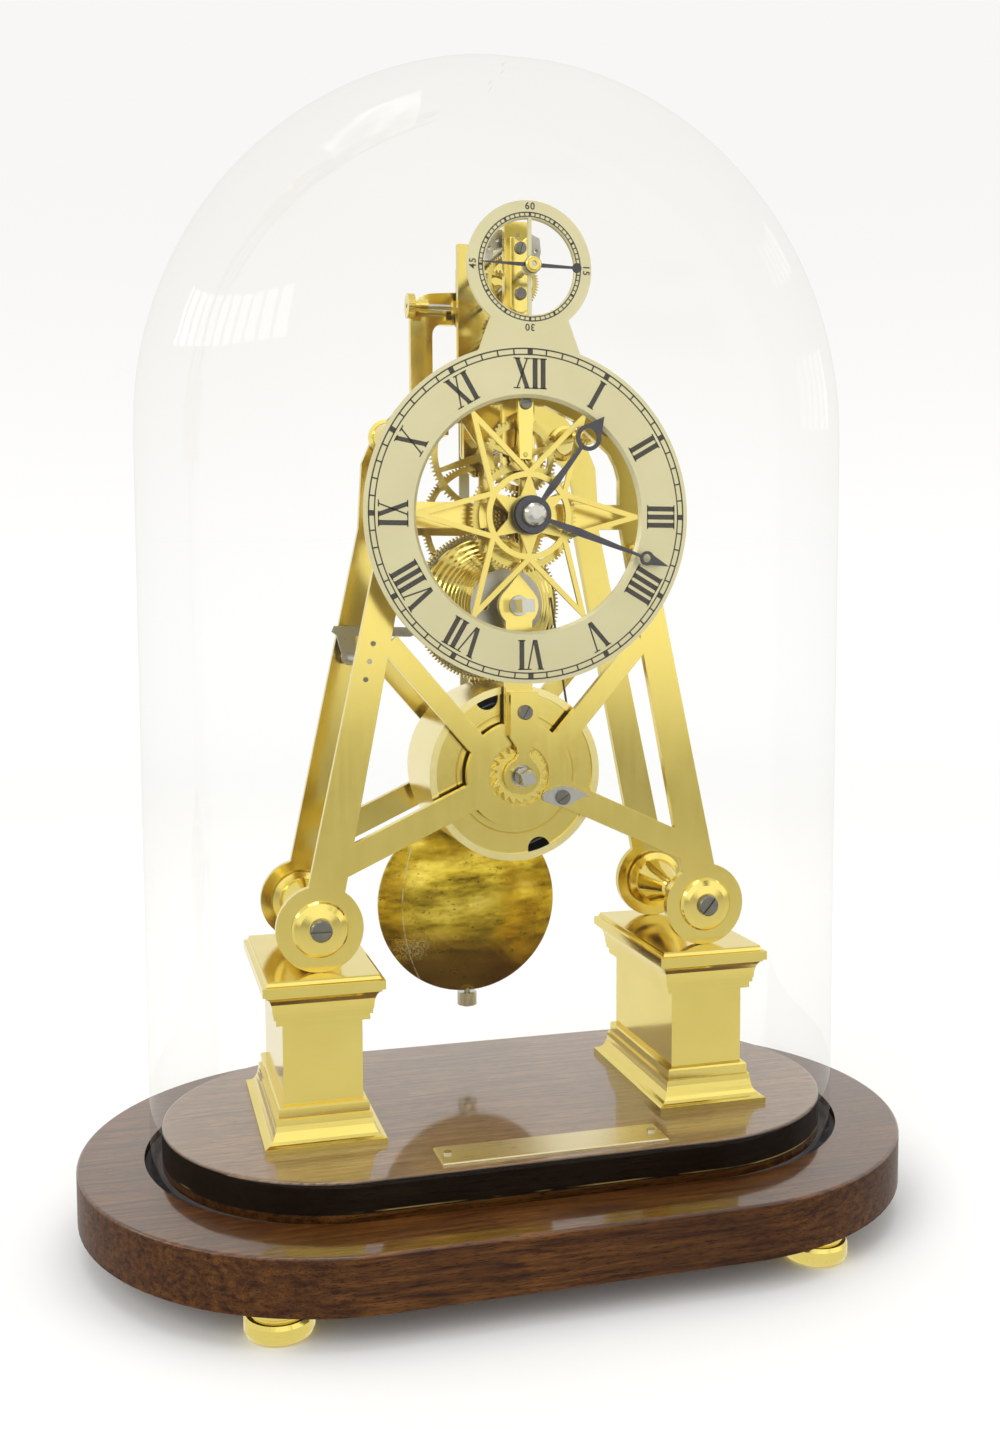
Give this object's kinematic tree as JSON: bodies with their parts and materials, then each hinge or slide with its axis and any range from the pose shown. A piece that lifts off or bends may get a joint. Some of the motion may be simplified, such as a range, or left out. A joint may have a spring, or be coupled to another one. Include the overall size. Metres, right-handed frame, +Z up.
{
  "type": "skeleton clock",
  "caption": "Fusee skeleton clock: pierced brass frame on two pedestals, silvered chapter ring with a small seconds dial, pendulum, stadium wooden base and oval glass dome.",
  "frame": {"origin": "middle of the footprint, in the plane the four feet stand on", "axes": "+Z up, -Y is the side the dial faces, +X to the right of someone looking at the dial"},
  "size_m": [0.3176, 0.194, 0.4279],
  "materials": {
    "mahogany": "french polished",
    "velvet": "black pile",
    "lacquered_brass": "satin, lacquered",
    "dull_brass": "tarnished and blotched",
    "silvered_brass": "silvered, fine grained",
    "bright_steel": "polished",
    "blued_steel": "blued",
    "dome_glass": "clear blown glass",
    "gut": "dark gut line"
  },
  "bodies": {
    "frame": {"base_board": "mahogany", "groove_velvet": "velvet", "base_plinth": "mahogany", "bun_feet": "lacquered_brass", "nameplate": "lacquered_brass", "base_fasteners": "bright_steel", "pedestal_plinths": "lacquered_brass", "pedestal_dies": "lacquered_brass", "pedestal_caps": "lacquered_brass", "front_plate": "lacquered_brass", "back_plate": "lacquered_brass", "frame_pillars": "lacquered_brass", "pillar_washers": "lacquered_brass", "frame_screws": "blued_steel", "barrel_arbor": "bright_steel", "barrel_ratchet": "lacquered_brass", "barrel_cock": "lacquered_brass", "seconds_cock": "lacquered_brass", "motion_cock": "lacquered_brass", "chapter_ring": "silvered_brass", "star_bridge": "lacquered_brass", "dial_pillars": "lacquered_brass", "pendulum_bracket": "lacquered_brass", "gut_line": "gut", "mainspring": "blued_steel"},
    "dome": {"glass_dome": "dome_glass"},
    "barrel": {"barrel_drum": "lacquered_brass", "barrel_lid": "lacquered_brass"},
    "click": {"click": "bright_steel"},
    "fusee": {"fusee_arbor": "bright_steel", "fusee_cone": "lacquered_brass", "fusee_cap": "bright_steel", "great_wheel": "lacquered_brass", "maintaining_ratchet": "lacquered_brass"},
    "detent": {"detent": "bright_steel"},
    "centre": {"centre_arbor": "bright_steel", "centre_wheel": "lacquered_brass", "cannon_pinion": "lacquered_brass", "minute_hand": "blued_steel", "hand_collet": "bright_steel"},
    "third": {"third_arbor": "bright_steel", "third_wheel": "lacquered_brass"},
    "fourth": {"fourth_wheel": "lacquered_brass"},
    "idler": {"idler_wheel": "lacquered_brass"},
    "seconds": {"seconds_arbor": "bright_steel", "seconds_wheel": "lacquered_brass", "escape_wheel": "lacquered_brass", "seconds_hand": "blued_steel"},
    "motion": {"minute_wheel": "lacquered_brass"},
    "hour": {"hour_wheel": "lacquered_brass", "hour_hand": "blued_steel"},
    "anchor": {"pallet_arbor": "bright_steel", "pallets": "bright_steel", "crutch": "lacquered_brass"},
    "beat_adjuster": {"beat_screw": "bright_steel", "beat_knob": "lacquered_brass"},
    "pendulum": {"suspension_spring": "bright_steel", "pendulum_rod": "bright_steel"},
    "bob": {"pendulum_bob": "dull_brass"},
    "rating_nut": {"rating_nut": "bright_steel"}
  },
  "joints": [
    {"name": "hands_spin", "type": "hinge", "parent": "frame", "child": "centre", "pos_m": [0, 0, 0.2633], "axis": [0, 1, 0], "continuous": true},
    {"name": "fusee_spin", "type": "hinge", "parent": "frame", "child": "fusee", "pos_m": [0, 0, 0.2319], "axis": [0, 1, 0], "continuous": true},
    {"name": "barrel_spin", "type": "hinge", "parent": "frame", "child": "barrel", "pos_m": [0, 0, 0.1705], "axis": [0, 1, 0], "continuous": true},
    {"name": "third_spin", "type": "hinge", "parent": "frame", "child": "third", "pos_m": [0, 0, 0.2904], "axis": [0, 1, 0], "continuous": true},
    {"name": "fourth_spin", "type": "hinge", "parent": "frame", "child": "fourth", "pos_m": [0, 0, 0.3179], "axis": [0, 1, 0], "continuous": true},
    {"name": "idler_spin", "type": "hinge", "parent": "frame", "child": "idler", "pos_m": [0, 0, 0.33428], "axis": [0, 1, 0], "continuous": true},
    {"name": "seconds_spin", "type": "hinge", "parent": "frame", "child": "seconds", "pos_m": [0, 0, 0.348], "axis": [0, 1, 0], "continuous": true},
    {"name": "motion_spin", "type": "hinge", "parent": "frame", "child": "motion", "pos_m": [0, 0, 0.2848], "axis": [0, 1, 0], "continuous": true},
    {"name": "hour_spin", "type": "hinge", "parent": "frame", "child": "hour", "pos_m": [0, 0, 0.2633], "axis": [0, 1, 0], "continuous": true},
    {"name": "pendulum_swing", "type": "hinge", "parent": "frame", "child": "pendulum", "pos_m": [0, 0.053, 0.3624], "axis": [0, 1, 0], "range_deg": [-2.5, 2.5]},
    {"name": "pallets_rock", "type": "hinge", "parent": "frame", "child": "anchor", "pos_m": [0, 0, 0.3624], "axis": [0, 1, 0], "range_deg": [-2.6, 2.6]},
    {"name": "beat_screw_turn", "type": "hinge", "parent": "anchor", "child": "beat_adjuster", "pos_m": [-0.0043, 0.0488, 0.3526], "axis": [1, 0, 0], "range_deg": [-360, 360]},
    {"name": "bob_slide", "type": "slide", "parent": "pendulum", "child": "bob", "axis": [0, 0, 1], "range_m": [-0.00135, 0.00135]},
    {"name": "rating_nut_turn", "type": "hinge", "parent": "bob", "child": "rating_nut", "pos_m": [0, 0.053, 0.0675], "axis": [0, 0, 1], "range_deg": [-1090, 1090]},
    {"name": "click_lift", "type": "hinge", "parent": "frame", "child": "click", "pos_m": [0.0161, -0.0285, 0.1619], "axis": [0, 1, 0], "range_deg": [-12, 0]},
    {"name": "detent_lift", "type": "hinge", "parent": "frame", "child": "detent", "pos_m": [-0.0547, 0.016, 0.2125], "axis": [0, 1, 0], "range_deg": [0, 6]},
    {"name": "dome_lift", "type": "slide", "parent": "frame", "child": "dome", "axis": [0, 0, 1], "range_m": [0, 0.42]}
  ],
  "couplings": [
    {"joint": "fusee_spin", "follows": "hands_spin", "ratio": -0.083333},
    {"joint": "barrel_spin", "follows": "hands_spin", "ratio": -0.044638},
    {"joint": "third_spin", "follows": "hands_spin", "ratio": -9},
    {"joint": "fourth_spin", "follows": "hands_spin", "ratio": 45},
    {"joint": "idler_spin", "follows": "hands_spin", "ratio": -83.077},
    {"joint": "seconds_spin", "follows": "hands_spin", "ratio": 60},
    {"joint": "motion_spin", "follows": "hands_spin", "ratio": -0.66667},
    {"joint": "hour_spin", "follows": "hands_spin", "ratio": 0.083333},
    {"joint": "pallets_rock", "follows": "pendulum_swing", "ratio": 1},
    {"joint": "rating_nut_turn", "follows": "bob_slide", "rad_per_m": 13963}
  ]
}
